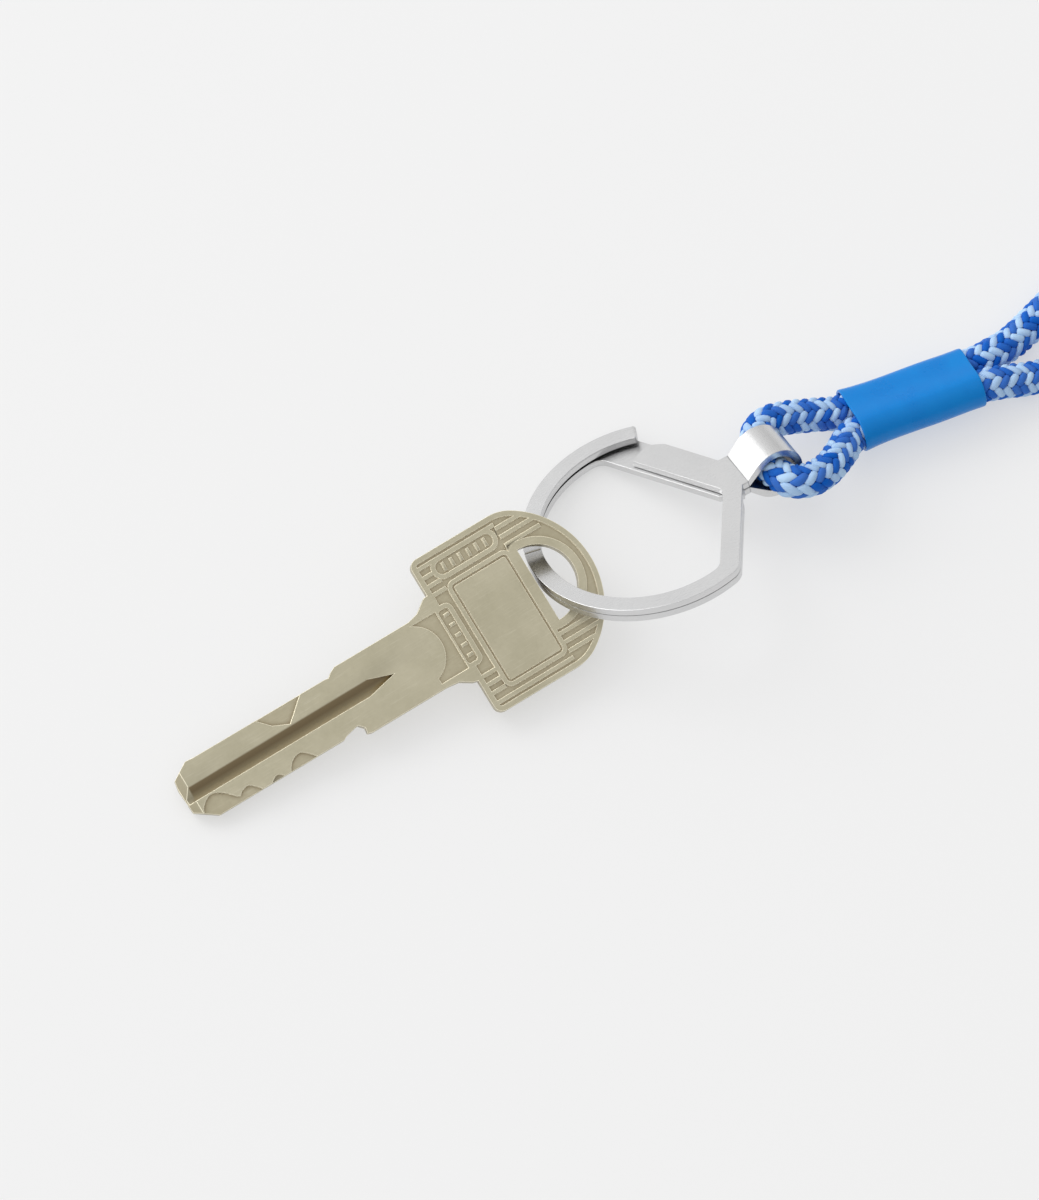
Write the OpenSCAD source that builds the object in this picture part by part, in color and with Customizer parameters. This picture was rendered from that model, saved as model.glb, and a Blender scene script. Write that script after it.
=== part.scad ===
// Split keyring folded from one strip of steel, with a key on it and a looped braid lanyard.
// Everything lies as it rests on a table: the ring leans, the key is propped on it.

/* [Ring] */
// Outer radius of the round side of the ring
ring_r = 17.3; // [16.5:0.1:18]
// Width of the round bar
bar_w = 2.35; // [2:0.05:2.5]
// Thickness of the folded strip
leaf_t = 1.08; // [0.9:0.02:1.1]
// Distance from the ring's centre to the outer edge of the plate side
plate_edge = 12.5; // [12:0.1:13]
// Width of the plate side of the upper leaf
plate_w = 4.5; // [4:0.1:4.8]
// Distance from the ring's centre to the outer edge of the straight side
side_edge = 12.9; // [12.4:0.1:13.2]
// Width of the straight side
side_w = 2.65; // [2.2:0.05:3]
// Width of the entry between the arm's end and the plate
entry_w = 2.2; // [1.8:0.1:2.6]

/* [Bail] */
// Width of the neck and of the loop that the cord runs through
bail_w = 6.2; // [5:0.1:6.4]
// Inside radius of the loop
bail_r = 2.76; // [2.7:0.02:2.8]
// Distance from the ring's centre to the fold line of the neck
neck_x = 14; // [13.8:0.1:14.4]

/* [Key] */
// Thickness of the key
key_t = 2.5; // [2:0.1:2.6]
// Radius of the far end of the key's bow
bow_r = 12.8; // [12:0.1:13]
// Half the width of the bow
bow_half = 11.75; // [11:0.05:12]
// Length from the middle of the bow to the tip
key_reach = 50.6; // [44:0.2:51]
// Radius of the half-round hole for the ring
hole_r = 5.45; // [5.2:0.05:5.6]
// Depth of the bow's recesses
relief = 0.25; // [0.1:0.05:0.4]

/* [Lanyard] */
// Diameter of the braided cord
cord_d = 4.6; // [4.3:0.1:4.6]
// Length of the sleeve that joins the two strands
sleeve_l = 18; // [14:0.5:20]
// Thickness of the sleeve's wall over the strands
sleeve_wall = 0.55; // [0.4:0.05:0.7]

/* [Hidden] */
$fn = 96;

// Where things rest. The origin is under the middle of the ring and key together.
ring_x = 25.4;
ring_y = -0.44;
ring_roll = 23.2;
ring_pitch = 1.4;
key_offset = [-22.3, -0.56, 5.8];
key_turn = [18, -5.5, 2];
sleeve_middle = [66.8, -0.05, 3.9];
sleeve_heading = -7.6;
sleeve_roll = 25;

// Ring details
leaf_gap = 0.04;
stack_t = 2 * leaf_t + leaf_gap;
inner_r = ring_r - bar_w;
side_angle = 30;
corner_fillet = 2.6;
inner_fillet = 2;
neck_fillet = 1.4;
tongue_edge = 7.5;
arm_end_angle = 67.5;
arm_flex_angle = 150;
arm_gap = 0.04;
arm_lift = 1.3;
arc_steps = 72;
plate_gap_slant = 0.25;
cut_start_angle = 45;
cut_clear = 1.5;
cut_long = 8;
stub_end = (ring_r - bar_w / 2) * sin(arm_end_angle - side_angle) - entry_w;
lower_slot_at = 3.2;
lower_slot_w = 1.6;
bail_x = 18.3;
bail_z = 0.9;
bail_steps = 32;
lean = acos(cos(ring_pitch) * cos(ring_roll));
ring_rest = ring_r * sin(lean);

// Key details
shoulder_x = -8.8;
shoulder_fillet = 1.2;
bow_fillet = 6;
shank_half = 5.1;
blade_top = 4.3;
blade_bottom = -4.05;
stop_x = -25;
hole_x = 4.75;
hole_y = 0.4;
rim_w = 0.75;
hole_rim = 1.1;
panel = [-6, -9.5, 3.8, 6.9];
panel_corner = 1.2;
badge = [-6.6, 7.4, 3.4, 10.6];
badge_corner = 1.55;
frame = [-9.4, -4.6, -6.6, 4.8];
frame_corner = 1.05;
frame_rim = 0.65;
border_at = 0.6;
border_w = 0.3;
mark_w = 0.42;
rib_w = 0.55;
rib_step = 1.3;
groove_top = 1.3;
groove_floor = -0.1;
groove_low = -0.85;
groove_deep = 0.75;
tip_fall = 0.9;
tip_slope_l = 1.3;
groove_end = -18;
cut_deep = 0.45;
skin = 0.1;

// Lanyard details
cord_r = cord_d / 2;
strand_gap = 0.2;
strand_apart = cord_d + strand_gap;
cord_sides = 12;
whipping_t = 0.14;
whipping_l = 6;
whipping_fit = 0.02;

// The cord's route, from the sleeve through the bail and back, then round the wrist loop
bail_route = [
    [76.1, 0.9, 2.9], [67.1, 2.1, 2.9], [58.1, 3.3, 2.9], [53.8, 4.5, 3.8], [50.4, 5.4, 4.8],
    [47.4, 5.8, 5.6], [45.2, 4.9, 6.1], [43.9, 2.8, 6.9], [43.4, -0.1, 8.1], [43.7, -3.1, 9.3],
    [44.8, -5.1, 9.7], [47.3, -5.8, 9.2], [50.2, -5.2, 8.2], [53.3, -3.5, 6.7], [57.5, -1.2, 4.9],
    [66.5, -2.2, 4.9], [75.5, -3.4, 4.9]];
wrist_route = [
    [75.5, -3.4, 4.9], [79, -4.1, 4.2], [83, -5, 3], [88, -6.2, 2.4], [98, -8.7, 2.3],
    [112, -12.6, 2.3], [126, -16.2, 2.3], [140, -17.8, 2.3], [153, -16.4, 2.3],
    [163, -10.6, 2.3], [167.4, -1.4, 2.3], [165.9, 8.9, 2.3], [159, 16.9, 2.3],
    [148, 20.9, 2.3], [135, 20.6, 2.3], [121, 16.6, 2.3], [107, 10.5, 2.3], [96, 5.5, 2.3],
    [89, 2.8, 2.3], [83.4, 1.2, 2.5], [79.6, 0.8, 2.8], [76.1, 0.9, 2.9]];

// ---- shared shapes ----

function arc(middle, r, a0, a1, steps) =
    [for (i = [0 : steps]) middle + r * [cos(a0 + (a1 - a0) * i / steps), sin(a0 + (a1 - a0) * i / steps)]];

// A fillet in the corner between a straight side and the round one. way is 1 or -1, the turning sense.
function corner_swing(edge, r, fillet) = acos((edge - fillet) / (r - fillet));

function corner_arc(normal, way, edge, r, fillet) =
    let (swing = way * corner_swing(edge, r, fillet),
         middle = (r - fillet) * [cos(normal + swing), sin(normal + swing)])
    arc(middle, fillet, normal, normal + swing, 10);

// The fillet between the two straight sides, on the neck's side
function meet_point(d1, d2) =
    [(d1 + d2) / (2 * cos(side_angle)), (d1 - d2) / (2 * sin(side_angle))];

function meet_arc(d1, d2, fillet) =
    arc(meet_point(d1 - fillet, d2 - fillet), fillet, -side_angle, side_angle, 8);

// Outline of a ring boundary: one big arc, two straight sides, three fillets
function ring_line(r, plate, side, fillet, meet_fillet) =
    let (top = side_angle + corner_swing(plate, r, fillet),
         bottom = -side_angle - corner_swing(side, r, fillet))
    concat(
        corner_arc(side_angle, 1, plate, r, fillet),
        arc([0, 0], r, top, 360 + bottom, arc_steps),
        [for (i = [10 : -1 : 0]) corner_arc(-side_angle, -1, side, r, fillet)[i]],
        meet_arc(plate, side, meet_fillet));

// A patch given along a straight side: outwards from n0 to n1, along from a0 to a1
module side_patch(normal, n0, n1, a0, a1, slant) {
    rotate(normal)
        polygon([[n0, a0], [n1, a0 - slant], [n1, a1], [n0, a1]]);
}

module ring_shape(plate_inner) {
    difference() {
        union() {
            polygon(ring_line(ring_r, plate_edge, side_edge, corner_fillet, neck_fillet));
            translate([neck_x - 5, -bail_w / 2])
                square([5, bail_w]);
        }
        polygon(ring_line(inner_r, plate_inner, side_edge - side_w, inner_fillet, neck_fillet));
        translate([neck_x, -bail_w])
            square(2 * bail_w);
    }
}

module in_ring() {
    translate([ring_x, ring_y, ring_rest])
        rotate([-ring_roll, -ring_pitch, 0])
            children();
}

// ---- the folded ring ----

module lower_leaf() {
    color("silver")
        in_ring()
            linear_extrude(leaf_t)
                difference() {
                    ring_shape(tongue_edge);
                    side_patch(-side_angle, side_edge - side_w - cut_clear, side_edge + cut_clear,
                               lower_slot_at - lower_slot_w, lower_slot_at, 0);
                }
}

module arm_sector(from, to, extra) {
    reach = ring_r * 2;
    middle = (from + to) / 2;
    intersection() {
        difference() {
            circle(ring_r + extra);
            circle(inner_r - extra);
        }
        polygon([[0, 0], reach * [cos(from), sin(from)], reach * [cos(middle), sin(middle)],
                 reach * [cos(to), sin(to)]]);
    }
}

module upper_leaf() {
    color("gainsboro")
        in_ring()
            translate([0, 0, leaf_t + leaf_gap])
                linear_extrude(leaf_t)
                    difference() {
                        ring_shape(plate_edge - plate_w);
                        arm_sector(cut_start_angle, arm_flex_angle + arm_gap, cut_clear);
                        side_patch(side_angle, plate_edge - plate_w - cut_clear, plate_edge + cut_clear,
                                   stub_end, stub_end + cut_long, plate_gap_slant);
                    }
}

// The arm stands a little off the lower leaf at its end, turned about the line where it flexes
module spring_arm() {
    hinge = [cos(arm_flex_angle), sin(arm_flex_angle), 0] * (ring_r - bar_w / 2) + [0, 0, stack_t];
    color("gainsboro")
        in_ring()
            translate(hinge)
                rotate(arm_lift, [-cos(arm_flex_angle), -sin(arm_flex_angle), 0])
                    translate([0, 0, leaf_t + leaf_gap] - hinge)
                        linear_extrude(leaf_t)
                            arm_sector(arm_end_angle, arm_flex_angle, 0);
}

// The strip rises from the neck, rounds the cord and comes back under itself
function tangent_point(from, middle, r, way) =
    let (d = norm(from - middle),
         swing = acos(r / d),
         heading = atan2(from.y - middle.y, from.x - middle.x))
    middle + r * [cos(heading + way * swing), sin(heading + way * swing)];

// The long way round the eye, over the top and under, from one point on its circle to another
function arc_between(from, to, middle, r) =
    let (a0 = atan2(from.y - middle.y, from.x - middle.x),
         a1 = atan2(to.y - middle.y, to.x - middle.x))
    arc(middle, r, a0, a1 < 0 ? a1 : a1 - 360, bail_steps);

module bail_profile() {
    eye = [bail_x, bail_z];
    outer = bail_r + leaf_t;
    top_out = tangent_point([neck_x, stack_t], eye, outer, -1);
    low_out = tangent_point([neck_x, 0], eye, outer, 1);
    top_in = tangent_point([neck_x, leaf_t + leaf_gap], eye, bail_r, -1);
    low_in = tangent_point([neck_x, leaf_t], eye, bail_r, 1);
    polygon(concat(
        [[neck_x, stack_t]],
        arc_between(top_out, low_out, eye, outer),
        [[neck_x, 0], [neck_x, leaf_t]],
        [for (i = [bail_steps : -1 : 0]) arc_between(top_in, low_in, eye, bail_r)[i]],
        [[neck_x, leaf_t + leaf_gap]]));
}

module bail() {
    color("silver")
        in_ring()
            translate([0, bail_w / 2, 0])
                rotate([90, 0, 0])
                    linear_extrude(bail_w)
                        bail_profile();
}

// ---- the key ----

// Outline of the bow, drawn in by inset all round
module bow_shape(inset) {
    left = shoulder_x + inset;
    half = bow_half - inset;
    r = bow_r - inset;
    corner = max(shoulder_fillet - inset, 0.3);
    fillet = bow_fillet - inset;
    meet_x = sqrt(pow(r - fillet, 2) - pow(half - fillet, 2));
    meet = atan2(half - fillet, meet_x);
    polygon(concat(
        arc([left + corner, half - corner], corner, 180, 90, 8),
        arc([meet_x, half - fillet], fillet, 90, meet, 8),
        arc([0, 0], r, meet, -meet, 40),
        arc([meet_x, fillet - half], fillet, -meet, -90, 8),
        arc([left + corner, corner - half], corner, 270, 180, 8)));
}

// A rounded box from its low and high corners, drawn in by inset all round
module round_box(box, corner, inset) {
    r = corner - inset;
    low = [box[0], box[1]] + [corner, corner];
    high = [box[2], box[3]] - [corner, corner];
    polygon(concat(
        arc(low, r, 180, 270, 6), arc([high.x, low.y], r, 270, 360, 6),
        arc(high, r, 0, 90, 6), arc([low.x, high.y], r, 90, 180, 6)));
}

module ring_hole(grow) {
    intersection() {
        translate([hole_x, hole_y])
            circle(hole_r + grow);
        translate([hole_x - grow, -bow_r])
            square([bow_r, 2 * bow_r]);
    }
}

module blade_shape() {
    tip = -key_reach;
    polygon([
        [tip, 1.5], [tip + 0.25, 2.9], [tip + 2.7, blade_top + 0.1], [tip + 4, blade_top],
        [stop_x - 1.4, blade_top - 0.1], [stop_x - 0.8, blade_top - 0.2], [stop_x - 0.2, blade_top + 0.3],
        [stop_x, shank_half - 0.4], [stop_x + 0.6, shank_half - 0.1], [shoulder_x - 4, shank_half - 0.1],
        [shoulder_x - 2.4, shank_half + 0.3], [shoulder_x - 0.6, shank_half + 1.6],
        [shoulder_x + 1, shank_half + 1.8], [shoulder_x + 1, -shank_half - 1.6],
        [shoulder_x - 0.6, -shank_half - 1.2], [shoulder_x - 2.2, -shank_half - 0.2],
        [shoulder_x - 4, -shank_half], [stop_x + 0.6, -shank_half], [stop_x - 0.1, -shank_half + 0.2],
        [stop_x, blade_bottom], [stop_x - 0.7, blade_bottom + 0.75], [stop_x - 2.7, blade_bottom + 0.3],
        [stop_x - 3.2, blade_bottom], [tip + 3.1, blade_bottom], [tip + 0.2, -2]]);
}

// The low ground between the end of the shank, which is round, and the bow's frame
module shank_recess() {
    difference() {
        translate([shoulder_x - 4.4, -shank_half + rim_w])
            square([4.2, 2 * shank_half - 2 * rim_w]);
        translate([shoulder_x - 5.8, 0.5])
            circle(4.25);
    }
}

// Recesses of the bow's face: all inside the rim but for the raised panel, badge, frame and ribs
module bow_recess() {
    difference() {
        bow_shape(rim_w);
        round_box(panel, panel_corner, 0);
        round_box(badge, badge_corner, 0);
        round_box(frame, frame_corner, 0);
        ring_hole(hole_rim);
        side_ribs();
    }
    difference() {
        union() {
            round_box(badge, badge_corner, frame_rim);
            round_box(frame, frame_corner, frame_rim);
        }
        plain_bars();
    }
    difference() {
        round_box(panel, panel_corner, border_at);
        round_box(panel, panel_corner, border_at + border_w);
    }
    shank_recess();
}

// Plain upright bars in the badge and in the frame
module plain_bars() {
    for (i = [0 : 5])
        translate([badge[0] + 1.6 + i * 1.28, badge[1] + 1])
            square([mark_w, 1.2]);
    for (i = [0 : 4])
        translate([frame[0] + 1.15, frame[1] + 1.5 + i * 1.55])
            square([0.8, mark_w]);
}

// Ribs along the key: one beside each edge, short ones at the shoulders, longer ones round the hole
module side_ribs() {
    for (side = [-1, 1])
        translate([shoulder_x + 0.3, side * (bow_half - 1.4) - rib_w / 2])
            square([panel[2] - shoulder_x - 0.3, rib_w]);
    // where a row starts, how long its ribs are, and the height of its top rib
    for (row = [[shoulder_x, 2.8, 8.7], [shoulder_x, 2.8, -6.6],
                [panel[2] - skin, hole_r, 9.5], [panel[2] - skin, hole_r + 1, -7]])
        for (i = [0 : 2])
            translate([row[0], row[2] - i * rib_step])
                square([row[1], rib_w]);
}

// The groove's plan, which runs out to a point, and its section, with a sloping upper wall
module groove_plan() {
    start = -key_reach - 1;
    polygon([[start, groove_top], [groove_end - 3.6, groove_top], [groove_end, 0.1],
             [groove_end - 4.2, groove_low], [start, groove_low]]);
}

// The groove is cut down from height 0
module groove_cut() {
    intersection() {
        translate([0, 0, -groove_deep])
            linear_extrude(groove_deep + skin)
                groove_plan();
        translate([-key_reach - 1, 0, 0])
            rotate([90, 0, 90])
                linear_extrude(key_reach)
                    polygon([[groove_top + skin, skin], [groove_top, 0], [groove_floor, -groove_deep],
                             [groove_low, -groove_deep], [groove_low, skin]]);
    }
}

// One wavy cut, from its crest line: distance from the tip, height above the lower edge
module wave_cut(crest) {
    polygon(concat([[crest[0].x, -1]], smooth(crest, 4), [[crest[len(crest) - 1].x, -1]]));
}

// Wavy cuts along the lower edge and one shallow cut on the upper edge
module blade_cuts() {
    translate([-key_reach, blade_bottom]) {
        wave_cut([[1.4, 1.2], [1.7, 1.9], [2.6, 2.7], [3.7, 2.95], [5.1, 2.2], [6.5, 0.8], [7.2, 1.2],
                  [8.2, 1.45], [9, 0.9], [9.8, 0]]);
        wave_cut([[11.1, 0], [11.7, 0.45], [12.3, 0.65], [12.8, 0.4], [13.2, 0]]);
        wave_cut([[14.1, 0], [14.9, 1.1], [16.2, 1.65], [17.2, 1.1], [18.2, 0]]);
    }
    translate([-key_reach, 0])
        polygon([[13.4, blade_top + 1], [13.6, blade_top - 0.2], [15.1, 2.5], [17.3, 1.5],
                 [20.3, blade_top - 0.2], [20.4, blade_top + 1]]);
}

// The slope at the tip of the blade
module tip_slope() {
    translate([-key_reach, bow_r, 0])
        rotate([90, 0, 0])
            linear_extrude(2 * bow_r)
                polygon([[-1, key_t + 1], [-1, key_t - tip_fall], [0.1, key_t - tip_fall],
                         [tip_slope_l, key_t], [tip_slope_l + 1, key_t + 1]]);
}

module key() {
    color("tan")
        translate([ring_x, ring_y, 0] + key_offset)
            rotate(key_turn)
                difference() {
                    linear_extrude(key_t)
                        difference() {
                            union() {
                                bow_shape(0);
                                blade_shape();
                            }
                            ring_hole(0);
                        }
                    for (face = [key_t - relief, -skin])
                        translate([0, 0, face])
                            linear_extrude(relief + skin)
                                bow_recess();
                    translate([0, 0, key_t])
                        groove_cut();
                    mirror([0, 0, 1])
                        groove_cut();
                    tip_slope();
                    translate([0, 0, key_t - cut_deep])
                        linear_extrude(cut_deep + skin)
                            blade_cuts();
                }
}

// ---- the lanyard ----

// A smooth curve through hand-set points: Catmull-Rom, steps between each two
function blend_at(p, i, t) =
    let (last = len(p) - 1,
         a = p[max(i - 1, 0)],
         b = p[i],
         c = p[min(i + 1, last)],
         d = p[min(i + 2, last)])
    0.5 * (2 * b + (c - a) * t + (2 * a - 5 * b + 4 * c - d) * t * t + (3 * b - a - 3 * c + d) * t * t * t);

function smooth(p, steps) =
    concat([for (i = [0 : len(p) - 2]) for (j = [0 : steps - 1]) blend_at(p, i, j / steps)], [p[len(p) - 1]]);

function unit(v) = v / norm(v);

function heading(line, i) = unit(line[min(i + 1, len(line) - 1)] - line[max(i - 1, 0)]);

// One ring of the tube, square to the line, with its first point level
function tube_ring(line, i, r) =
    let (along = heading(line, i),
         across = unit(cross([0, 0, 1], along)),
         up = cross(along, across))
    [for (k = [0 : cord_sides - 1])
        line[i] + r * (across * cos(360 * k / cord_sides) + up * sin(360 * k / cord_sides))];

module tube(line, r) {
    n = len(line);
    points = [for (i = [0 : n - 1]) each tube_ring(line, i, r)];
    sides = [for (i = [0 : n - 2]) for (k = [0 : cord_sides - 1])
        let (a = i * cord_sides + k, b = i * cord_sides + (k + 1) % cord_sides)
        [a, a + cord_sides, b + cord_sides, b]];
    start = [for (k = [0 : cord_sides - 1]) k];
    end = [for (k = [cord_sides - 1 : -1 : 0]) (n - 1) * cord_sides + k];
    polyhedron(points, concat([start], sides, [end]), 4);
}

module bail_cord() {
    color("royalblue")
        tube(smooth(bail_route, 3), cord_r);
}

module wrist_cord() {
    color("royalblue")
        tube(smooth(wrist_route, 2), cord_r);
}

// Two strands side by side, as a flat-sided oval r beyond the strands' centres
module two_strands(r, length) {
    rotate([90, 0, 90])
        translate([0, 0, -length / 2])
            linear_extrude(length) {
                for (side = [-1, 1])
                    translate([side * strand_apart / 2, 0])
                        circle(r);
                translate([-strand_apart / 2, -r])
                    square([strand_apart, 2 * r]);
            }
}

module at_sleeve() {
    translate(sleeve_middle)
        rotate([-sleeve_roll, 0, sleeve_heading])
            children();
}

module cord_sleeve() {
    inside = cord_r + whipping_t + 2 * whipping_fit;
    color("dodgerblue")
        at_sleeve()
            difference() {
                two_strands(cord_r + sleeve_wall, sleeve_l);
                two_strands(inside, sleeve_l + 1);
            }
}

module cord_whipping() {
    color("navy")
        at_sleeve()
            difference() {
                two_strands(cord_r + whipping_fit + whipping_t, whipping_l);
                two_strands(cord_r + whipping_fit, whipping_l + 1);
            }
}

lower_leaf();
upper_leaf();
spring_arm();
bail();
key();
bail_cord();
wrist_cord();
cord_sleeve();
cord_whipping();
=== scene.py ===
import math

import bpy
import numpy as np
from mathutils import Matrix, Vector


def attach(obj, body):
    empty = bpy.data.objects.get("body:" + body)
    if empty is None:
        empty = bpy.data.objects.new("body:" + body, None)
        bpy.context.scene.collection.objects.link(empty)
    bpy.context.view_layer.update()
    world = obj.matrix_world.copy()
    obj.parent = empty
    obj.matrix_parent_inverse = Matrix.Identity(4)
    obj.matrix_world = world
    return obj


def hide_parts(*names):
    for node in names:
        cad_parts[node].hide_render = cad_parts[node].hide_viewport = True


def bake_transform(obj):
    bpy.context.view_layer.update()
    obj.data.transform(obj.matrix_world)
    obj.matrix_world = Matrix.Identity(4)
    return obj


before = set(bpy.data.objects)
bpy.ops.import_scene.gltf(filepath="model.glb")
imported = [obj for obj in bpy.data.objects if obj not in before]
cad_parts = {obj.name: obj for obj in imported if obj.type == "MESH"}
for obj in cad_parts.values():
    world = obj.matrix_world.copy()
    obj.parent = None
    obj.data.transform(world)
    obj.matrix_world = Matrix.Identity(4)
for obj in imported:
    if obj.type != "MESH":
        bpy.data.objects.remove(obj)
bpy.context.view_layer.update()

mm = 0.001


def turn(degrees, axis):
    return Matrix.Rotation(math.radians(degrees), 4, axis)


# where the ring, the key and the sleeve lie, as in the CAD
ringPlace = {"centre": (25.4, -0.44, 6.8263), "roll": 23.2, "pitch": 1.4}
keyPlace = {"corner": (3.1, -1.0, 5.8), "turn": (18, -5.5, 2)}
sleevePlace = {"middle": (66.8, -0.05, 3.9), "heading": -7.6, "roll": 25}

ringMatrix = (Matrix.Translation(Vector(ringPlace["centre"]) * mm)
              @ turn(-ringPlace["pitch"], "Y") @ turn(-ringPlace["roll"], "X"))
keyMatrix = (Matrix.Translation(Vector(keyPlace["corner"]) * mm) @ turn(keyPlace["turn"][2], "Z")
             @ turn(keyPlace["turn"][1], "Y") @ turn(keyPlace["turn"][0], "X"))
sleeveMatrix = (Matrix.Translation(Vector(sleevePlace["middle"]) * mm)
                @ turn(sleevePlace["heading"], "Z") @ turn(-sleevePlace["roll"], "X"))

view = {"target": (0.00624, 0.00143, 0), "toCamera": (-0.199, -0.355, 0.9135), "away": 0.8,
        "lens": 118.4, "sensorHeight": 24, "clipEnd": 20}


def addCamera():
    direction = Vector(view["toCamera"]).normalized()
    bpy.ops.object.camera_add(location=Vector(view["target"]) + direction * view["away"])
    camera = bpy.context.object
    camera.name = "camera"
    camera.rotation_euler = direction.to_track_quat("Z", "Y").to_euler()
    camera.data.sensor_fit = "VERTICAL"
    camera.data.sensor_height = view["sensorHeight"]
    camera.data.lens = view["lens"]
    camera.data.clip_end = view["clipEnd"]
    bpy.context.scene.camera = camera


addCamera()
print("camera done")


def deselectAll():
    if bpy.context.object and bpy.context.object.mode != "OBJECT":
        bpy.ops.object.mode_set(mode="OBJECT")
    bpy.ops.object.select_all(action="DESELECT")


def pick(piece):
    deselectAll()
    piece.select_set(True)
    bpy.context.view_layer.objects.active = piece


def facesOutwards(piece):
    pick(piece)
    bpy.ops.object.mode_set(mode="EDIT")
    bpy.ops.mesh.select_all(action="SELECT")
    bpy.ops.mesh.normals_make_consistent(inside=False)
    bpy.ops.object.mode_set(mode="OBJECT")


def applyModifiers(piece):
    pick(piece)
    for name in [m.name for m in piece.modifiers]:
        bpy.ops.object.modifier_apply(modifier=name)


def applyPlace(piece, matrix):
    pick(piece)
    piece.matrix_world = matrix @ piece.matrix_world
    bpy.ops.object.transform_apply(location=True, rotation=True, scale=True)


def addModifier(piece, kind, **settings):
    modifier = piece.modifiers.new(kind.lower(), kind)
    for key, value in settings.items():
        setattr(modifier, key, value)


# shared by the pieces that start from a CAD node: millimetres and degrees
edgeWork = {"merge": 0.002, "flatWithin": 0.5, "bevelOver": 28, "smoothUnder": 40}


def copyOfNode(node, name, merge=edgeWork["merge"]):
    piece = bpy.data.objects.new(name, bpy.data.objects[node].data.copy())
    bpy.context.collection.objects.link(piece)
    piece.data.materials.clear()
    pick(piece)
    bpy.ops.object.mode_set(mode="EDIT")
    bpy.ops.mesh.select_all(action="SELECT")
    bpy.ops.mesh.remove_doubles(threshold=merge * mm)
    bpy.ops.mesh.customdata_custom_splitnormals_clear()
    bpy.ops.mesh.dissolve_limited(angle_limit=math.radians(edgeWork["flatWithin"]))
    bpy.ops.object.mode_set(mode="OBJECT")
    return piece


# bevels the edges and marks the new narrow faces in the attribute edgeWearAndHighlight; on the key these
# faces are coloured as worn metal with a painted highlight
def softenEdges(piece, width, segments=2, angle=edgeWork["bevelOver"], clamp=True):
    for slot in ("face", "edge"):
        piece.data.materials.append(bpy.data.materials.new(slot))
    piece.data.polygons.foreach_set("material_index", [0] * len(piece.data.polygons))
    addModifier(piece, "BEVEL", width=width, segments=segments, limit_method="ANGLE",
                angle_limit=math.radians(angle), use_clamp_overlap=clamp, material=1)
    applyModifiers(piece)
    wear = [float(face.material_index) for face in piece.data.polygons]
    piece.data.attributes.new("edgeWearAndHighlight", "FLOAT", "FACE").data.foreach_set("value", wear)
    piece.data.polygons.foreach_set("material_index", [0] * len(wear))
    bpy.ops.object.shade_smooth_by_angle(angle=math.radians(edgeWork["smoothUnder"]))
    addModifier(piece, "WEIGHTED_NORMAL", mode="FACE_AREA", weight=100, keep_sharp=True)
    applyModifiers(piece)


def finishPiece(piece, body, slot, material, *nodes):
    piece.data.materials.clear()
    piece.data.materials.append(material)
    if nodes:
        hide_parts(*nodes)
    if body:
        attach(piece, body)
    return piece


# short ways to build a material's node tree
class Nodes:
    def __init__(self, name):
        self.material = bpy.data.materials.new(name)
        self.material.use_nodes = True
        self.tree = self.material.node_tree
        self.shader = next(n for n in self.tree.nodes if n.type == "BSDF_PRINCIPLED")

    def add(self, kind, inputs=(), **settings):
        node = self.tree.nodes.new("ShaderNode" + kind)
        for key, value in settings.items():
            setattr(node, key, value)
        for key, value in dict(inputs).items():
            if isinstance(value, bpy.types.NodeSocket):
                self.tree.links.new(value, node.inputs[key])
            else:
                node.inputs[key].default_value = value
        return node

    def set(self, **values):
        for key, value in values.items():
            socket = self.shader.inputs[key.replace("_", " ")]
            if isinstance(value, bpy.types.NodeSocket):
                self.tree.links.new(value, socket)
            else:
                socket.default_value = value

    # Object coordinates turned into a piece's own frame, in metres
    def inFrame(self, matrix, scale=(1, 1, 1)):
        coordinates = self.add("TexCoord").outputs["Object"]
        own = self.add("Mapping", {"Vector": coordinates, "Location": matrix.to_translation(),
                                   "Rotation": matrix.to_euler()}, vector_type="TEXTURE")
        return self.add("Mapping", {"Vector": own.outputs[0], "Scale": scale}).outputs[0]

    def noise(self, vector, scale, detail, rough):
        return self.add("TexNoise", {"Vector": vector, "Scale": scale, "Detail": detail,
                                     "Roughness": rough}).outputs["Fac"]

    # fades from one colour to the other between two places on the factor
    def fade(self, factor, places, first, second):
        node = self.add("ValToRGB", {"Fac": factor})
        for element, place, colour in zip(node.color_ramp.elements, places, (first, second)):
            element.position = place
            element.color = (*colour, 1)
        return node.outputs["Color"]

    def span(self, value, low, high, toLow, toHigh):
        return self.add("MapRange", {"Value": value, "From Min": low, "From Max": high,
                                     "To Min": toLow, "To Max": toHigh}).outputs["Result"]

    # the same, with its first two numbers in millimetres
    def spanMm(self, value, low, high, toLow, toHigh):
        return self.span(value, low * mm, high * mm, toLow, toHigh)

    def times(self, first, second):
        return self.add("Math", {0: first, 1: second}, operation="MULTIPLY").outputs[0]

    # 1 in the open, and less where another surface is within reach
    def closeness(self, reach):
        return self.add("AmbientOcclusion", {"Distance": reach}, samples=8).outputs["AO"]

    def attribute(self, name):
        return self.add("Attribute", attribute_name=name, attribute_type="GEOMETRY").outputs["Fac"]

    def mix(self, factor, first, second):
        node = self.add("Mix", data_type="RGBA")
        for index, value in ((0, factor), (6, first), (7, second)):
            if isinstance(value, bpy.types.NodeSocket):
                self.tree.links.new(value, node.inputs[index])
            else:
                node.inputs[index].default_value = value if index == 0 else (*value, 1)
        return node.outputs[2]

    def bump(self, height, strength, distance):
        node = self.add("Bump", {"Height": height, "Strength": strength, "Distance": distance})
        self.set(Normal=node.outputs[0])


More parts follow.
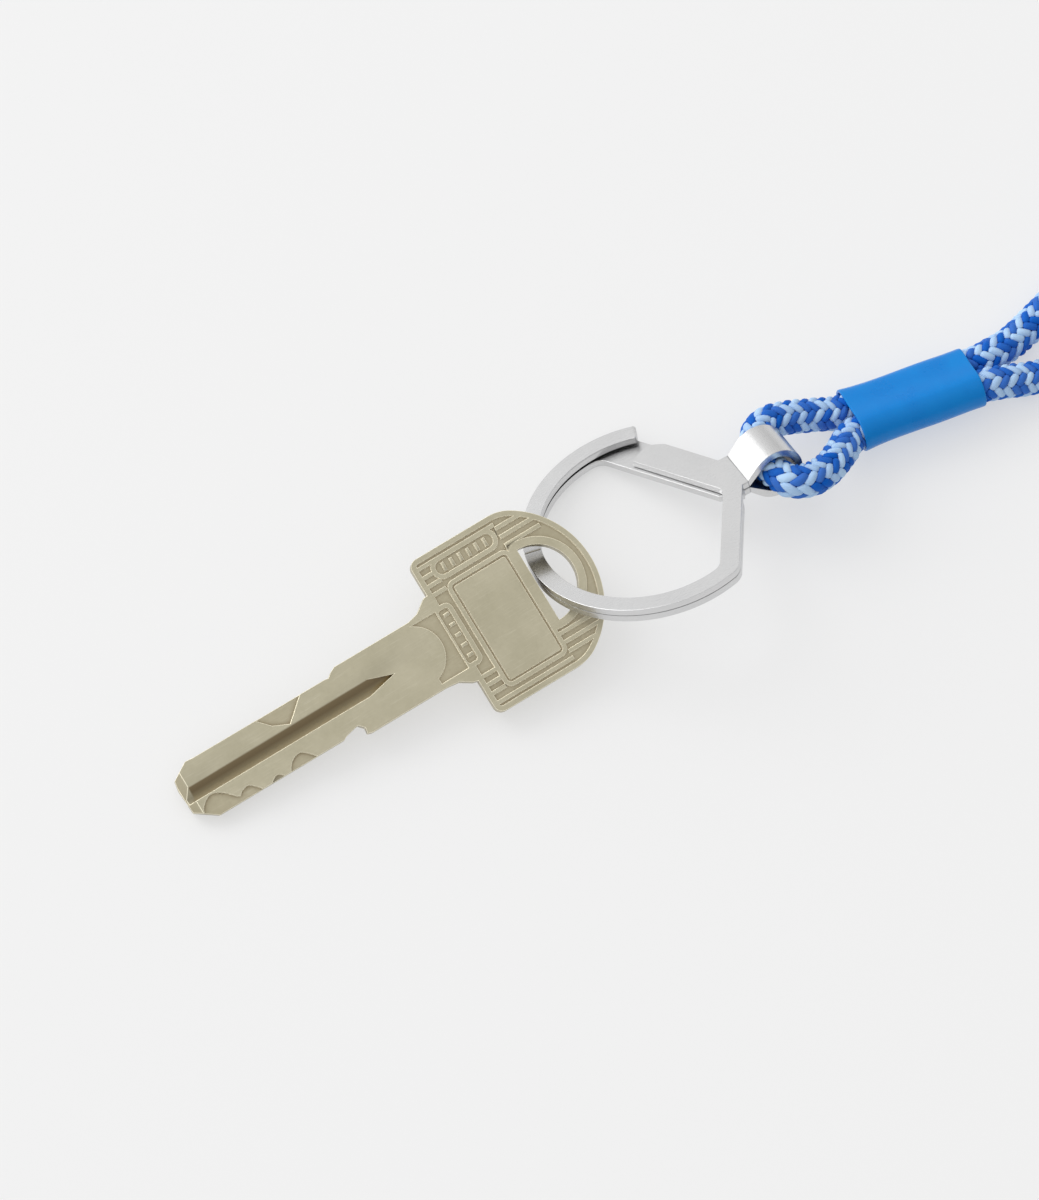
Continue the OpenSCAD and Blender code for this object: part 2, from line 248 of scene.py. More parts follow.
# in these looks a noise is its scale, detail and roughness, a span is the value's two limits and the
# result's two, and a bump is its strength and its height in metres
steelLook = {"bright": (0.69, 0.69, 0.69), "dull": (0.65, 0.65, 0.652), "clouds": (140, 3, 0.55),
             "cloudStops": (0.3, 0.75),
             "streak": (0.5, 0.5, 0.51), "gleam": (0.95, 0.95, 0.95), "brushing": (1, 4, 0.62),
             "brushStops": (0.3, 0.7), "brushShows": 0.12, "bump": (0.12, 0.00002),
             "leafGrain": (900, 60000, 60000), "bailGrain": (60000, 900, 60000),
             "roughSpan": (0.25, 0.75, 0.22, 0.34),
             # crevice is painted shade: the steel's colour darkens where another surface is near
             "creviceShade": (0.16, 0.16, 0.165), "creviceShadeReach": 0.003, "creviceShadeSpan": (0.25, 0.8, 0.7, 0)}


def brushedSteel(name, grain):
    m = Nodes(name)
    look = steelLook
    brushed = m.noise(m.inFrame(ringMatrix, grain), *look["brushing"])
    cloudy = m.noise(m.inFrame(ringMatrix), *look["clouds"])
    tone = m.fade(cloudy, look["cloudStops"], look["dull"], look["bright"])
    # painted shade: the steel darkens in the crevices and seams, near the leaves and under the key
    shade = m.span(m.closeness(look["creviceShadeReach"]), *look["creviceShadeSpan"])
    tone = m.mix(shade, tone, look["creviceShade"])
    streaks = m.fade(brushed, look["brushStops"], look["streak"], look["gleam"])
    m.set(Base_Color=m.mix(look["brushShows"], tone, streaks), Metallic=1.0,
          Roughness=m.span(brushed, *look["roughSpan"]))
    m.bump(brushed, *look["bump"])
    return m.material


keyLook = {"metal": (0.46, 0.425, 0.305), "pale": (0.54, 0.50, 0.37), "clouds": (160, 3, 0.55),
           "cloudStops": (0.3, 0.72),
           "grain": (2600, 4, 0.6), "roughSpan": (0.3, 0.7, 0.3, 0.46), "bump": (0.18, 0.00002),
           "scratch": (0.72, 0.68, 0.55), "scratchGrain": (220, 5200, 5200), "scratches": (1, 3, 0.7),
           "scratchSpan": (0.55, 0.75, 0, 0.35),
           # hollow is painted shade: the colour darkens near the walls of the recesses
           "hollowShade": (0.17, 0.12, 0.06), "hollowShadeReach": 0.0008, "hollowShadeSpan": (0.4, 0.97, 1, 0),
           # the next spans start in millimetres of the key's own frame: first the lowered grounds
           "ground": (0.38, 0.32, 0.205), "groundSpan": (2.25, 2.5, 0.3, 0),
           # then the blade's groove: below the face, between its two sides and between its two ends. Its
           # two colours are painted light: shade on one slope, a highlight on the other
           "grooveShade": (0.19, 0.14, 0.075), "grooveHighlight": (0.36, 0.30, 0.185),
           "grooveSpan": (2.40, 2.49, 0.92, 0),
           "grooveSides": ((1.3, 1.4, 1, 0), (-0.95, -0.85, 0, 1)),
           "grooveEnds": ((-49.4, -49.2, 0, 1), (-18, -17.8, 1, 0)), "slopeSpan": (-0.25, 0.45, 0, 1),
           # worn is the bevelled edges' colour: rubbed metal, made pale as a painted highlight
           "wornHighlight": (0.97, 0.92, 0.76), "wornHighlightShows": 0.9, "wornRough": 0.3}


def nickelSilver():
    m = Nodes("nickel_silver")
    look = keyLook
    place = m.inFrame(keyMatrix)
    grain = m.noise(place, *look["grain"])
    cloudy = m.noise(place, *look["clouds"])
    scratches = m.noise(m.inFrame(keyMatrix, look["scratchGrain"]), *look["scratches"])
    tone = m.fade(cloudy, look["cloudStops"], look["metal"], look["pale"])
    tone = m.mix(m.span(scratches, *look["scratchSpan"]), tone, look["scratch"])
    # painted shade near the recess walls, where another surface is close
    tone = m.mix(m.span(m.closeness(look["hollowShadeReach"]), *look["hollowShadeSpan"]), tone, look["hollowShade"])
    along, across, height = m.add("SeparateXYZ", {"Vector": place}).outputs
    tone = m.mix(m.spanMm(height, *look["groundSpan"]), tone, look["ground"])
    inGroove = m.spanMm(height, *look["grooveSpan"])
    for side in look["grooveSides"]:
        inGroove = m.times(inGroove, m.spanMm(across, *side))
    for end in look["grooveEnds"]:
        inGroove = m.times(inGroove, m.spanMm(along, *end))
    # painted shade along one side of the groove, and a painted highlight on the other side
    grooveLightAndShade = m.mix(m.spanMm(across, *look["slopeSpan"]), look["grooveHighlight"], look["grooveShade"])
    tone = m.mix(inGroove, tone, grooveLightAndShade)
    # the bevelled edges get a paler colour: real wear, and partly a painted highlight where they would
    # catch the light
    wornHighlight = m.attribute("edgeWearAndHighlight")
    tone = m.mix(m.times(wornHighlight, look["wornHighlightShows"]), tone, look["wornHighlight"])
    rough = m.add("Math", {0: wornHighlight, 1: look["wornRough"], 2: m.span(grain, *look["roughSpan"])},
                  operation="MULTIPLY_ADD")
    m.set(Base_Color=tone, Metallic=1.0, Roughness=rough.outputs[0])
    m.bump(grain, *look["bump"])
    return m.material


braidLook = {"dark": (0.0, 0.15, 0.64), "darkShade": (0.0, 0.06, 0.38), "light": (0.56, 0.74, 0.93),
             # core is painted shade: nearly black, where the gaps between the picks show
             "lightShade": (0.36, 0.57, 0.84), "core": (0.0, 0.015, 0.1), "coreShadeSpan": (-1, -0.5, 1, 0),
             "fibreGrain": (26, 3, 1), "fibres": (1, 3, 0.6), "fuzz": (1500, 3, 0.6), "fuzzShare": 0.35,
             "bump": (0.5, 0.00006)}


# the attribute yarnTone is near 0 on a dark pick, near 1 on a light one and -1 on the core, which is
# painted nearly black as the shade between the picks
def braidYarn():
    m = Nodes("braid_yarn")
    look = braidLook
    yarn = m.attribute("yarnTone")
    weave = m.add("UVMap", uv_map="yarnUv").outputs[0]
    fibrePlace = m.add("Mapping", {"Vector": weave, "Scale": look["fibreGrain"]}).outputs[0]
    fibres = m.noise(fibrePlace, *look["fibres"])
    fuzz = m.noise(m.add("TexCoord").outputs["Object"], *look["fuzz"])
    dark = m.mix(fibres, look["darkShade"], look["dark"])
    light = m.mix(fibres, look["lightShade"], look["light"])
    # the core takes its near-black painted shade
    tone = m.mix(m.span(yarn, *look["coreShadeSpan"]), m.mix(yarn, dark, light), look["core"])
    m.set(Base_Color=tone, Roughness=0.65, Specular_IOR_Level=0.12, Sheen_Weight=0.03, Sheen_Roughness=0.4)
    m.bump(m.mix(look["fuzzShare"], fibres, fuzz), *look["bump"])
    return m.material


sleeveLook = {"blue": (0.0, 0.165, 0.55), "pale": (0.0, 0.235, 0.66), "clouds": (260, 3, 0.5),
              "fine": (2400, 2, 0.5), "fineShare": 0.3, "roughSpan": (0.3, 0.7, 0.25, 0.35),
              "bump": (0.1, 0.00006)}


def shrinkTube():
    m = Nodes("azure_tube")
    look = sleeveLook
    place = m.inFrame(sleeveMatrix)
    cloudy = m.noise(place, *look["clouds"])
    fine = m.noise(place, *look["fine"])
    m.set(Base_Color=m.mix(cloudy, look["blue"], look["pale"]), Specular_IOR_Level=0.22,
          Roughness=m.span(cloudy, *look["roughSpan"]))
    m.bump(m.mix(look["fineShare"], cloudy, fine), *look["bump"])
    return m.material


# the two colours are painted shade between the turns of thread and a painted highlight on each turn
threadLook = {"turnShade": (0.004, 0.012, 0.06), "lit": (0.012, 0.04, 0.2), "stops": (0.2, 0.8),
              "waveScale": 500, "wander": 0.4, "bump": (0.6, 0.0001)}


def woundThread():
    m = Nodes("wound_thread")
    look = threadLook
    turns = m.add("TexWave", {"Vector": m.inFrame(sleeveMatrix), "Scale": look["waveScale"],
                              "Distortion": look["wander"], "Detail": 2},
                  bands_direction="X").outputs["Fac"]
    # painted light: bands of shade and highlight across the turns
    m.set(Base_Color=m.fade(turns, look["stops"], look["turnShade"], look["lit"]), Roughness=0.7)
    m.bump(turns, *look["bump"])
    return m.material


leafSteel = brushedSteel("satin_steel", steelLook["leafGrain"])
bailSteel = brushedSteel("bent_steel", steelLook["bailGrain"])
keyMetal = nickelSilver()
yarnCloth = braidYarn()
tubeSkin = shrinkTube()
threadSkin = woundThread()
print("materials done")

# the same points as in the CAD, in millimetres: from the butt joint in the sleeve round the bail,
# back through the sleeve, round the wrist loop and back to the butt joint
cordRoute = [
    (67.1, 2.1, 2.9), (58.1, 3.3, 2.9), (53.8, 4.5, 3.8), (50.4, 5.4, 4.8), (47.4, 5.8, 5.6),
    (45.2, 4.9, 6.1), (43.9, 2.8, 6.9), (43.4, -0.1, 8.1), (43.7, -3.1, 9.3), (44.8, -5.1, 9.7),
    (47.3, -5.8, 9.2), (50.2, -5.2, 8.2), (53.3, -3.5, 6.7), (57.5, -1.2, 4.9), (66.5, -2.2, 4.9),
    (75.5, -3.4, 4.9), (79, -4.1, 4.2), (83, -5, 3), (88, -6.2, 2.4), (98, -8.7, 2.3),
    (112, -12.6, 2.3), (126, -16.2, 2.3), (140, -17.8, 2.3), (153, -16.4, 2.3), (163, -10.6, 2.3),
    (167.4, -1.4, 2.3), (165.9, 8.9, 2.3), (159, 16.9, 2.3), (148, 20.9, 2.3), (135, 20.6, 2.3),
    (121, 16.6, 2.3), (107, 10.5, 2.3), (96, 5.5, 2.3), (89, 2.8, 2.3), (83.4, 1.2, 2.5),
    (79.6, 0.8, 2.8), (76.1, 0.9, 2.9), (67.1, 2.1, 2.9)]
# millimetres; liesAt is how far out of the core the cord rests on the table, as a share of the rise
braid = {"core": 2.04, "rise": 0.34, "liesAt": 1.18, "diameter": 4.8, "seed": 11,
         "strands": 8, "pitch": 10.08, "overlap": 1.18, "fullness": 1.2,
         # which strands are light, counted round the cord, for each way that they wind
         "lightRight": (1, 1, 0, 0), "lightLeft": (1, 0),
         # how far the picks vary: along the cord, in height and in tone
         "shifts": 0.04, "heights": 0.1, "lightFades": 0.2, "darkLifts": 0.1,
         "coreSides": 20, "coreStep": 0.6, "coreUnder": 0.02,
         # how finely the route is read, and how far from the butt joint the picks keep
         "lineStep": 0.1, "perSpan": 60, "pathEvery": 12, "clearEnd": 0.4,
         # where the bail and the sleeve squeeze it, and over what length that fades
         "bailAt": (43.7, -0.3, 8.2), "bailReach": 3, "bailSqueeze": 0.955,
         "sleeveFrom": 57.5, "sleeveTo": 76.5, "sleeveFades": (4, 1.2), "sleeveSqueeze": 0.93}

# one woven pick, from -1 to 1: how wide and high it is at five stations along it, and its section
weavePick = {"stations": [(-0.74, 0.62), (-0.44, 0.93), (0, 1.05), (0.44, 0.93), (0.74, 0.62)],
             "section": [(-1, -0.4), (-0.8, 0.3), (-0.42, 0.86), (0, 1.0),
                         (0.42, 0.86), (0.8, 0.3), (1, -0.4)],
             "leastWide": 0.72, "endHeight": -0.3,
             # how far on in the fibre pattern each next pick starts
             "fibreStep": 0.37, "fibreRepeat": 7}


# Catmull-Rom through the points, then evenly spaced, with sides that don't twist
def cordLine(points):
    p = np.array(points, float)
    p[:, 2] = np.maximum(p[:, 2], braid["core"] + braid["liesAt"] * braid["rise"])
    dense = []
    for i in range(len(p) - 1):
        a, b, c, d = p[max(i - 1, 0)], p[i], p[i + 1], p[min(i + 2, len(p) - 1)]
        for t in np.linspace(0, 1, braid["perSpan"], endpoint=False):
            dense.append(0.5 * (2 * b + (c - a) * t + (2 * a - 5 * b + 4 * c - d) * t * t
                                + (3 * b - a - 3 * c + d) * t ** 3))
    dense = np.array(dense + [p[-1]])
    along = np.concatenate([[0], np.cumsum(np.linalg.norm(np.diff(dense, axis=0), axis=1))])
    count = int(along[-1] / braid["lineStep"]) + 1
    at = np.linspace(0, along[-1], count)
    line = np.stack([np.interp(at, along, dense[:, k]) for k in range(3)], axis=1)
    tangent = np.gradient(line, at, axis=0)
    tangent /= np.linalg.norm(tangent, axis=1)[:, None]
    side = np.cross([0, 0, 1], tangent[0])
    sides = []
    for t in tangent:
        side = side - t * np.dot(side, t)
        side /= np.linalg.norm(side)
        sides.append(side)
    sides = np.array(sides)
    return at, line, sides, np.cross(tangent, sides)


class CordFrame:
    def __init__(self):
        self.at, self.line, self.side, self.up = cordLine(cordRoute)
        self.length = self.at[-1]
        reach = braid["bailReach"]
        fromBail = np.linalg.norm(self.line - np.array(braid["bailAt"]), axis=1)
        self.squeeze = 1 - (1 - braid["bailSqueeze"]) * np.clip(2 - fromBail / reach, 0, 1)
        x = self.line[:, 0]
        fadeIn, fadeOut = braid["sleeveFades"]
        inSleeve = (np.clip((x - braid["sleeveFrom"]) / fadeIn, 0, 1)
                    * np.clip((braid["sleeveTo"] - x) / fadeOut, 0, 1))
        self.squeeze -= (1 - braid["sleeveSqueeze"]) * inSleeve

    def read(self, table, s):
        return np.stack([np.interp(s, self.at, table[:, k]) for k in range(3)], axis=-1)

    # points at lengths s, angles a and radii r, in metres
    def points(self, s, a, r):
        s = np.clip(s, 0, self.length)
        r = r * np.interp(s, self.at, self.squeeze)
        return (self.read(self.line, s) + self.read(self.side, s) * (r * np.cos(a))[..., None]
                + self.read(self.up, s) * (r * np.sin(a))[..., None]) * mm


# the points of one pick, as place along it, place across it and height, and its faces
def pickShape():
    stations, section = weavePick["stations"], weavePick["section"]
    least = weavePick["leastWide"]
    points = []
    for along, high in stations:
        for across, lift in section:
            height = lift * high if lift > 0 else lift
            points.append((along, across * (least + (1 - least) * high), height))
    points += [(-1, 0, weavePick["endHeight"]), (1, 0, weavePick["endHeight"])]
    wide = len(section)
    last = wide * (len(stations) - 1)
    faces = []
    for start in range(0, last, wide):
        for w in range(wide):
            v = (w + 1) % wide
            faces.append((start + w, start + v, start + wide + v, start + wide + w))
    faces += [((w + 1) % wide, w, last + wide) for w in range(wide)]
    faces += [(last + w, last + (w + 1) % wide, last + wide + 1) for w in range(wide)]
    return np.array(points), faces


# where each pick's middle lies: length along the cord, way it winds, strand, angle round the cord
def pickPlaces(cord, crossing, swing):
    repeat = 4  # crossings from one pick of a strand to its next
    places = []
    # the two ways start apart, so that one goes over where the other goes under
    for way in (1, -1):
        for strand in range(braid["strands"]):
            first = (0.5 - 2 * strand if way > 0 else 2 * strand - 2.5) % repeat
            for number in range(int(cord.length / (repeat * crossing)) + 1):
                s = (first + repeat * number) * crossing
                if braid["clearEnd"] < s < cord.length - braid["clearEnd"]:
                    places.append((s, way, strand, way * s / crossing * swing + 2 * strand * swing))
    return np.array(places)


def weavePicks(cord):
    crossing = braid["pitch"] / (2 * braid["strands"])  # along the cord, between two crossings
    swing = math.pi / braid["strands"]  # round the cord, between two crossings
    radius = braid["core"] + braid["rise"] / 2
    lean = math.atan2(radius * swing, crossing)
    halfLong = braid["overlap"] * math.hypot(crossing, radius * swing)
    halfWide = braid["fullness"] * crossing * math.sin(lean)
    shape, faces = pickShape()
    places = pickPlaces(cord, crossing, swing)
    s0, way, strand, a0 = (places[:, k][:, None] for k in range(4))
    chance = np.random.default_rng(braid["seed"])
    s0 = s0 + chance.uniform(-braid["shifts"], braid["shifts"], s0.shape)
    longways, sideways = shape[:, 0] * halfLong, shape[:, 1] * halfWide
    s = s0 + longways * math.cos(lean) - sideways * math.sin(lean) * way
    a = a0 + (longways * math.sin(lean) * way + sideways * math.cos(lean)) / radius
    vary = chance.uniform(1 - braid["heights"], 1 + braid["heights"], s0.shape)
    points = cord.points(s, a, braid["core"] + braid["rise"] * shape[:, 2] * vary).reshape(-1, 3)
    right, left = np.array(braid["lightRight"]), np.array(braid["lightLeft"])
    number = strand.astype(int)
    isLight = np.where(way > 0, right[number % len(right)], left[number % len(left)])
    lightTone = 1 - chance.uniform(0, braid["lightFades"], s0.shape)
    darkTone = chance.uniform(0, braid["darkLifts"], s0.shape)
    count, each = len(places), len(shape)
    tone = np.repeat(np.where(isLight > 0, lightTone, darkTone), each)
    uv = np.tile(np.stack([shape[:, 1] * 0.5 + 0.5, shape[:, 0] * 0.5 + 0.5], axis=1), (count, 1))
    uv[:, 1] += np.repeat(np.arange(count) * weavePick["fibreStep"] % weavePick["fibreRepeat"], each)
    faceList = [tuple(k * each + corner for corner in face) for k in range(count) for face in faces]
    return points, faceList, tone, uv


# the core that shows between the picks, its points numbered from base; its near-black colour is painted
# shade in the gaps
def braidCore(cord, base):
    sides = braid["coreSides"]
    rings = np.linspace(0, cord.length, int(cord.length / braid["coreStep"]))
    s, a = np.meshgrid(rings, np.linspace(0, 2 * math.pi, sides, endpoint=False), indexing="ij")
    points = cord.points(s, a, np.full_like(s, braid["core"] - braid["coreUnder"])).reshape(-1, 3)
    faces = []
    for start in range(base, base + (len(rings) - 1) * sides, sides):
        for k in range(sides):
            v = (k + 1) % sides
            faces.append((start + k, start + v, start + sides + v, start + sides + k))
    faces.append(tuple(base + k for k in range(sides - 1, -1, -1)))
    faces.append(tuple(base + (len(rings) - 1) * sides + k for k in range(sides)))
    return points, faces


def makeBraid():
    cord = CordFrame()
    points, faces, tone, uv = weavePicks(cord)
    corePoints, coreFaces = braidCore(cord, len(points))
    mesh = bpy.data.meshes.new("braided_cord")
    mesh.from_pydata(np.concatenate([points, corePoints]).tolist(), [], faces + coreFaces)
    allTone = np.concatenate([tone, np.full(len(corePoints), -1.0)])
    mesh.attributes.new("yarnTone", "FLOAT", "POINT").data.foreach_set("value", allTone.astype(np.float32))
    allUv = np.concatenate([uv, np.zeros((len(corePoints), 2))])
    layer = mesh.uv_layers.new(name="yarnUv")
    corners = np.zeros(len(mesh.loops), np.int32)
    mesh.loops.foreach_get("vertex_index", corners)
    layer.data.foreach_set("uv", allUv[corners].astype(np.float32).ravel())
    mesh.update()
    piece = bpy.data.objects.new("braided_cord", mesh)
    bpy.context.collection.objects.link(piece)
    facesOutwards(piece)
    bpy.ops.object.shade_smooth()
    path = np.concatenate([cord.line[::braid["pathEvery"]], cord.line[-1:]]) * mm
    return piece, cord.length * mm, path


braidPiece, cordLength, cordPath = makeBraid()
finishPiece(braidPiece, "lanyard", "cord_braid", yarnCloth, "bail_cord", "wrist_cord")
print("cord done, length", round(cordLength, 4), "m,", len(braidPiece.data.polygons), "faces")

sleeve = {"strandApart": 4.8, "radius": 2.86, "wall": 0.42, "sides": 40, "rim": 0.12, "rimOver": 50,
          # this far from its middle the tube is pulled fully apart; between the strands it draws in
          "pullFrom": 0.6, "waist": 0.1, "waistReach": 2.4,
          # along the sleeve, width, height: shrunk on, narrower towards the wrist loop
          "rings": [(-9.0, 1.043, 0.985), (-8.7, 1.053, 0.99), (-7.9, 1.023, 0.985), (-6.2, 0.982, 0.98),
                    (-4.0, 0.967, 0.965), (-1.5, 0.967, 0.97), (1.2, 0.977, 0.985), (3.8, 0.977, 0.985),
                    (6.4, 0.957, 0.975), (8.0, 0.962, 0.98), (8.7, 0.967, 0.985), (9.0, 0.957, 0.98)]}


def makeSleeve():
    deselectAll()
    start = sleeve["rings"][0]
    bpy.ops.mesh.primitive_circle_add(vertices=sleeve["sides"], radius=sleeve["radius"] * mm,
                                      location=(start[0] * mm, 0, 0), rotation=(0, math.pi / 2, 0))
    piece = bpy.context.object
    piece.name = piece.data.name = "shrink_sleeve"
    bpy.ops.object.transform_apply(location=True, rotation=True, scale=True)
    # pulled apart over the two strands, then drawn in a little between them
    for vertex in piece.data.vertices:
        across = vertex.co.y
        pulled = min(abs(across) / (sleeve["pullFrom"] * mm), 1)
        vertex.co.y += math.copysign(pulled, across) * sleeve["strandApart"] / 2 * mm
        nearMiddle = max(0, 1 - abs(vertex.co.y) / (sleeve["waistReach"] * mm))
        vertex.co.z *= 1 - sleeve["waist"] * nearMiddle
    bpy.ops.object.mode_set(mode="EDIT")
    bpy.ops.mesh.select_all(action="SELECT")
    bpy.ops.transform.resize(value=(1, start[1], start[2]), center_override=(0, 0, 0))
    for before, ring in zip(sleeve["rings"], sleeve["rings"][1:]):
        move = ((ring[0] - before[0]) * mm, 0, 0)
        bpy.ops.mesh.extrude_region_move(TRANSFORM_OT_translate={"value": move})
        bpy.ops.transform.resize(value=(1, ring[1] / before[1], ring[2] / before[2]),
                                 center_override=(0, 0, 0))
    facesOutwards(piece)
    addModifier(piece, "SOLIDIFY", thickness=sleeve["wall"] * mm, offset=-1, use_rim=True)
    addModifier(piece, "BEVEL", width=sleeve["rim"] * mm, segments=2, limit_method="ANGLE",
                angle_limit=math.radians(sleeve["rimOver"]))
    addModifier(piece, "SUBSURF", levels=2, render_levels=2)
    applyModifiers(piece)
    bpy.ops.object.shade_smooth()
    applyPlace(piece, sleeveMatrix)
    return piece


sleevePiece = finishPiece(makeSleeve(), "lanyard", "sleeve", tubeSkin, "cord_sleeve")
whipping = bpy.data.objects["cord_whipping"]
for place in whipping.material_slots:
    place.material = threadSkin
print("sleeve done")

# millimetres, and degrees counted round the ring; heights are above the lower leaf's underside
strip = {"outer": 17.3, "inner": 14.95, "low": 1.12, "high": 2.2, "edge": 0.08,
         "tipAngle": 67.5, "seamAngle": 166, "steps": 66, "weld": 0.001, "tipCorner": 0.6, "tipSegments": 4,
         # at rest the arm already stands a little off the lower leaf: how steeply, and from where
         "lift": 1.2, "liftFrom": 152, "liftWithin": 20,
         "flexFrom": 162, "flexTo": 118, "flexRadius": 16.1}


def spinArm():
    deselectAll()
    middle = (strip["outer"] + strip["inner"]) / 2 * mm
    wide = (strip["outer"] - strip["inner"]) * mm
    thick = (strip["high"] - strip["low"]) * mm
    bpy.ops.mesh.primitive_plane_add(size=1, location=(middle, 0, (strip["low"] + strip["high"]) / 2 * mm),
                                     rotation=(math.pi / 2, 0, 0))
    piece = bpy.context.object
    piece.name = piece.data.name = "spring_arm_strip"
    piece.scale = (wide, thick, 1)
    bpy.ops.object.transform_apply(location=True, rotation=True, scale=True)
    applyPlace(piece, turn(strip["tipAngle"], "Z"))
    pick(piece)
    bpy.ops.object.mode_set(mode="EDIT")
    bpy.ops.mesh.select_all(action="SELECT")
    bpy.ops.mesh.spin(steps=strip["steps"], angle=math.radians(strip["tipAngle"] - strip["seamAngle"]),
                      center=(0, 0, 0), axis=(0, 0, 1), dupli=False)
    bpy.ops.mesh.select_all(action="SELECT")
    bpy.ops.mesh.remove_doubles(threshold=strip["weld"] * mm)
    bpy.ops.mesh.normals_make_consistent(inside=False)
    bpy.ops.object.mode_set(mode="OBJECT")
    return piece


def closeEnds(piece):
    pick(piece)
    bpy.ops.object.mode_set(mode="EDIT")
    bpy.ops.mesh.select_all(action="DESELECT")
    bpy.ops.mesh.select_non_manifold(extend=False, use_wire=False, use_multi_face=False,
                                     use_non_contiguous=False, use_verts=False)
    bpy.ops.mesh.edge_face_add()
    facesOutwards(piece)


def liftArm(piece):
    for vertex in piece.data.vertices:
        past = max(0, strip["liftFrom"] - math.degrees(math.atan2(vertex.co.y, vertex.co.x)))
        slope = math.tan(math.radians(strip["lift"] * min(1, past / strip["liftWithin"])))
        vertex.co.z += strip["outer"] * mm * math.sin(math.radians(past)) * slope


# the two upright edges at the tip are rounded in plan
def roundTip(piece):
    pick(piece)
    bpy.ops.object.mode_set(mode="EDIT")
    bpy.ops.mesh.select_all(action="DESELECT")
    bpy.ops.mesh.select_mode(type="EDGE")
    bpy.ops.object.mode_set(mode="OBJECT")
    across = turn(strip["tipAngle"], "Z") @ Vector((1, 0, 0))
    along = Vector((-across.y, across.x, 0))
    nearTip = 0.01 * mm
    upright = 0.5 * mm
    for edge in piece.data.edges:
        a, b = (piece.data.vertices[i].co for i in edge.vertices)
        atTip = max(abs(a.dot(along)), abs(b.dot(along))) < nearTip and a.y > 0
        edge.select = atTip and abs(a.z - b.z) > upright
    bpy.ops.object.mode_set(mode="EDIT")
    bpy.ops.mesh.bevel(offset=strip["tipCorner"] * mm, segments=strip["tipSegments"])
    bpy.ops.mesh.select_mode(type="VERT")
    bpy.ops.object.mode_set(mode="OBJECT")


arm = spinArm()
closeEnds(arm)
liftArm(arm)
roundTip(arm)
softenEdges(arm, strip["edge"] * mm)
applyPlace(arm, ringMatrix)
finishPiece(arm, None, "ring_steel", leafSteel, "spring_arm")
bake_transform(arm)

# millimetres from the seam; short is how many degrees the block stops before it, so that no gap opens
cutBlock = {"size": (8, 6, 4), "middle": (16.1, -3, 1.65), "short": 0.05}


# the upper leaf ends where the arm's strip begins, at a seam under the key's bow
def cutSeam(piece):
    deselectAll()
    bpy.ops.mesh.primitive_cube_add(size=1, location=(0, 0, 0))
    cutter = bpy.context.object
    cutter.scale = Vector(cutBlock["size"]) * mm
    bpy.ops.object.transform_apply(location=False, rotation=False, scale=True)
    seamTurn = turn(strip["seamAngle"] - cutBlock["short"], "Z")
    applyPlace(cutter, ringMatrix @ seamTurn @ Matrix.Translation(Vector(cutBlock["middle"]) * mm))
    addModifier(piece, "BOOLEAN", operation="DIFFERENCE", object=cutter, solver="EXACT")
    applyModifiers(piece)
    bpy.data.objects.remove(cutter)


upper = copyOfNode("upper_leaf", "upper_leaf_strip")
cutSeam(upper)
softenEdges(upper, strip["edge"] * mm)
finishPiece(upper, "ring", "ring_steel", leafSteel, "upper_leaf")

lower = copyOfNode("lower_leaf", "lower_leaf_strip")
softenEdges(lower, strip["edge"] * mm)
finishPiece(lower, "ring", "ring_steel", leafSteel, "lower_leaf")

bail = copyOfNode("bail", "bail_strip")
softenEdges(bail, strip["edge"] * mm)
finishPiece(bail, "ring", "bail_steel", bailSteel, "bail")
print("ring done")

# the clamp is off, because the shortest edges on the bow would leave next to no bevel anywhere
keyEdge = {"merge": 0.06, "soft": 0.055, "segments": 2, "over": 35, "clamp": False}
keyPiece = copyOfNode("key", "cut_key", keyEdge["merge"])
softenEdges(keyPiece, keyEdge["soft"] * mm, keyEdge["segments"], keyEdge["over"], keyEdge["clamp"])
finishPiece(keyPiece, "key", "key_metal", keyMetal, "key")
print("key done", len(keyPiece.data.polygons), "faces")

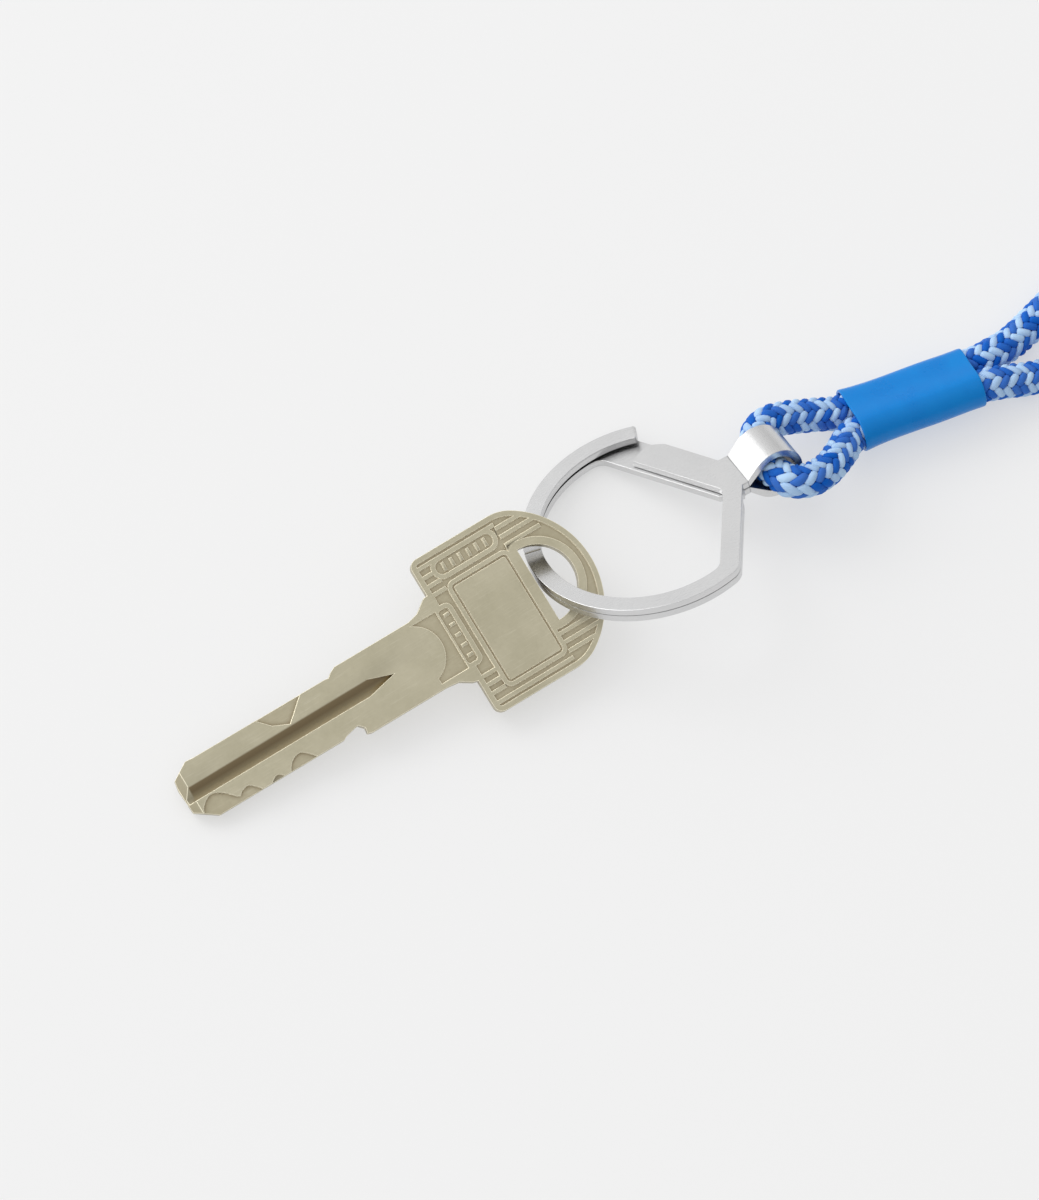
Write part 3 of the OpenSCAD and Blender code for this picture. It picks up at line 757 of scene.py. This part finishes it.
studio = {"floor": 0.36, "glow": 0.515, "floorSize": 6, "floorHeight": -0.00001,
          # the room is paler on the far left, where the window would be
          "paleSide": (-0.60, 0.60, 0.53), "darkest": 0.17, "palest": 1.07,
          # name, place, size, power
          "lights": [("key_softbox", (-0.45, 1.0, 1.05), 0.9, 6.0),
                     ("top_softbox", (-0.3, -0.2, 1.6), 1.0, 1.0),
                     ("low_softbox", (-0.75, 0.85, 0.35), 0.6, 2.5)],
          "aim": (0.02, 0, 0)}


def addFloor():
    deselectAll()
    bpy.ops.mesh.primitive_plane_add(size=studio["floorSize"], location=(0, 0, studio["floorHeight"]))
    floor = bpy.context.object
    floor.name = floor.data.name = "floor"
    m = Nodes("floor_paper")
    tone = studio["floor"]
    m.set(Base_Color=(tone, tone, tone, 1), Roughness=0.9, Specular_IOR_Level=0.05,
          Emission_Color=(1, 1, 1, 1), Emission_Strength=studio["glow"])
    floor.data.materials.append(m.material)


def addRoom():
    world = bpy.data.worlds.new("studio")
    bpy.context.scene.world = world
    bpy.context.scene.view_settings.view_transform = "Standard"
    world.use_nodes = True
    tree = world.node_tree
    back = tree.nodes["Background"]
    back.inputs["Color"].default_value = (1, 1, 1, 1)
    around = tree.nodes.new("ShaderNodeTexCoord")
    facing = tree.nodes.new("ShaderNodeVectorMath")
    facing.operation = "DOT_PRODUCT"
    facing.inputs[1].default_value = studio["paleSide"]
    fade = tree.nodes.new("ShaderNodeMapRange")
    fade.inputs["From Min"].default_value = -1
    fade.inputs["To Min"].default_value = studio["darkest"]
    fade.inputs["To Max"].default_value = studio["palest"]
    tree.links.new(around.outputs["Generated"], facing.inputs[0])
    tree.links.new(facing.outputs["Value"], fade.inputs["Value"])
    tree.links.new(fade.outputs["Result"], back.inputs["Strength"])


def addLights():
    for name, place, size, power in studio["lights"]:
        bpy.ops.object.light_add(type="AREA", location=place)
        light = bpy.context.object
        light.name = name
        light.data.shape = "SQUARE"
        light.data.size = size
        light.data.energy = power
        light.rotation_euler = (Vector(place) - Vector(studio["aim"])).to_track_quat("Z", "Y").to_euler()


addFloor()
addRoom()
addLights()
print("studio done")
